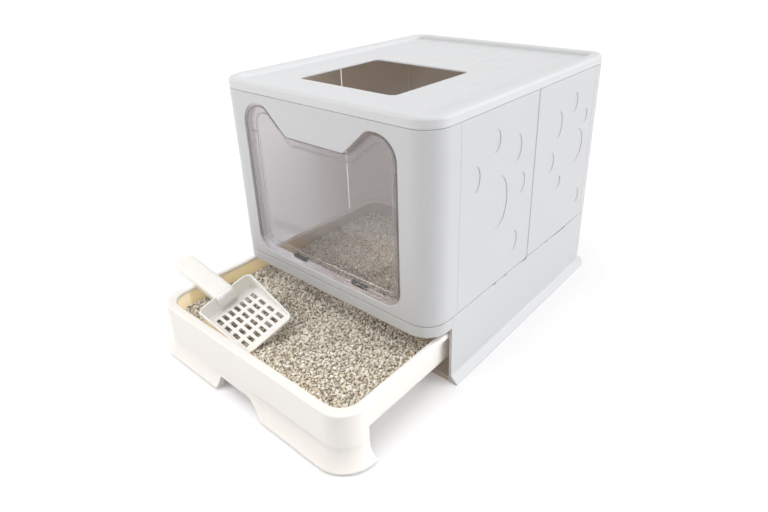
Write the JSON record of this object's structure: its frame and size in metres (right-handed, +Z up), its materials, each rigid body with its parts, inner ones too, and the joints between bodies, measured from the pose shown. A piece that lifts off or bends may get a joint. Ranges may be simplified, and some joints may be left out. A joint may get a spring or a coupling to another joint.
{
  "type": "drawer litter box",
  "caption": "Folding cat litter box with a pull-out litter drawer, a clear cat-eared swing flap, a top entry lid and a slotted scoop.",
  "frame": {"origin": "on the floor, at the centre of the enclosure's footprint", "axes": "+X to the right seen from the front, +Y to the back, +Z up; the drawer and flap face -Y"},
  "size_m": [0.4406, 0.6447, 0.38],
  "materials": {
    "panel_plastic": "cool light grey, fine moulded satin",
    "lid_plastic": "light grey-white, fine moulded satin",
    "drawer_plastic": "warm cream-white, satin",
    "scoop_plastic": "warm white, light gloss",
    "litter_granules": "loose beige and grey granules",
    "smoked_clear": "clear smoked plastic, polished",
    "pin_steel": "drawn wire",
    "magnet_black": "dark coated"
  },
  "bodies": {
    "base": {"base_tray": "panel_plastic"},
    "drawer": {"drawer": "drawer_plastic", "litter": "litter_granules"},
    "scoop": {"scoop": "scoop_plastic"},
    "back": {"back_panel": "panel_plastic", "hinge_rod_right_rear": "pin_steel", "hinge_rod_left_rear": "pin_steel"},
    "right_rear": {"side_panel_right_rear": "panel_plastic", "hinge_rod_right_middle": "pin_steel"},
    "right_front": {"side_panel_right_front": "panel_plastic", "hinge_rod_right_front": "pin_steel"},
    "left_rear": {"side_panel_left_rear": "panel_plastic", "hinge_rod_left_middle": "pin_steel"},
    "left_front": {"side_panel_left_front": "panel_plastic", "hinge_rod_left_front": "pin_steel"},
    "front": {"front_panel": "panel_plastic", "sill_magnets": "magnet_black"},
    "flap": {"flap_door": "smoked_clear", "flap_pins": "pin_steel", "door_magnets": "magnet_black"},
    "lid": {"lid": "lid_plastic"}
  },
  "joints": [
    {"name": "drawer_slide", "type": "slide", "parent": "base", "child": "drawer", "axis": [0, -1, 0], "range_m": [-0.15, 0]},
    {"name": "scoop_lift", "type": "slide", "parent": "drawer", "child": "scoop", "axis": [-0.2662, -0.2928, 0.9184], "range_m": [0, 0.3762]},
    {"name": "enclosure_lift", "type": "slide", "parent": "base", "child": "back", "axis": [0, 0, 1], "range_m": [0, 0.08]},
    {"name": "fold", "type": "hinge", "parent": "back", "child": "right_rear", "pos_m": [0.1875, 0.193, 0.2365], "axis": [0, 0, -1], "range_deg": [0, 83]},
    {"name": "fold_right_middle", "type": "hinge", "parent": "right_rear", "child": "right_front", "pos_m": [0.1915, 0.007, 0.2365], "axis": [0, 0, 1], "range_deg": [0, 166]},
    {"name": "fold_right_front", "type": "hinge", "parent": "right_front", "child": "front", "pos_m": [0.1875, -0.179, 0.2365], "axis": [0, 0, -1], "range_deg": [0, 83]},
    {"name": "fold_left_rear", "type": "hinge", "parent": "back", "child": "left_rear", "pos_m": [-0.1875, 0.193, 0.2365], "axis": [0, 0, 1], "range_deg": [0, 83]},
    {"name": "fold_left_middle", "type": "hinge", "parent": "left_rear", "child": "left_front", "pos_m": [-0.1915, 0.007, 0.2365], "axis": [0, 0, -1], "range_deg": [0, 166]},
    {"name": "flap_swing", "type": "hinge", "parent": "front", "child": "flap", "pos_m": [0, -0.224, 0.3065], "axis": [-1, 0, 0], "range_deg": [-80, 80]},
    {"name": "lid_lift", "type": "slide", "parent": "back", "child": "lid", "axis": [0, 0, 1], "range_m": [0, 0.08]}
  ],
  "couplings": [
    {"joint": "scoop_lift", "follows": "drawer_slide", "ratio": -2.5044},
    {"joint": "fold_right_middle", "follows": "fold", "ratio": 2},
    {"joint": "fold_right_front", "follows": "fold", "ratio": 1},
    {"joint": "fold_left_rear", "follows": "fold", "ratio": 1},
    {"joint": "fold_left_middle", "follows": "fold", "ratio": 2}
  ]
}
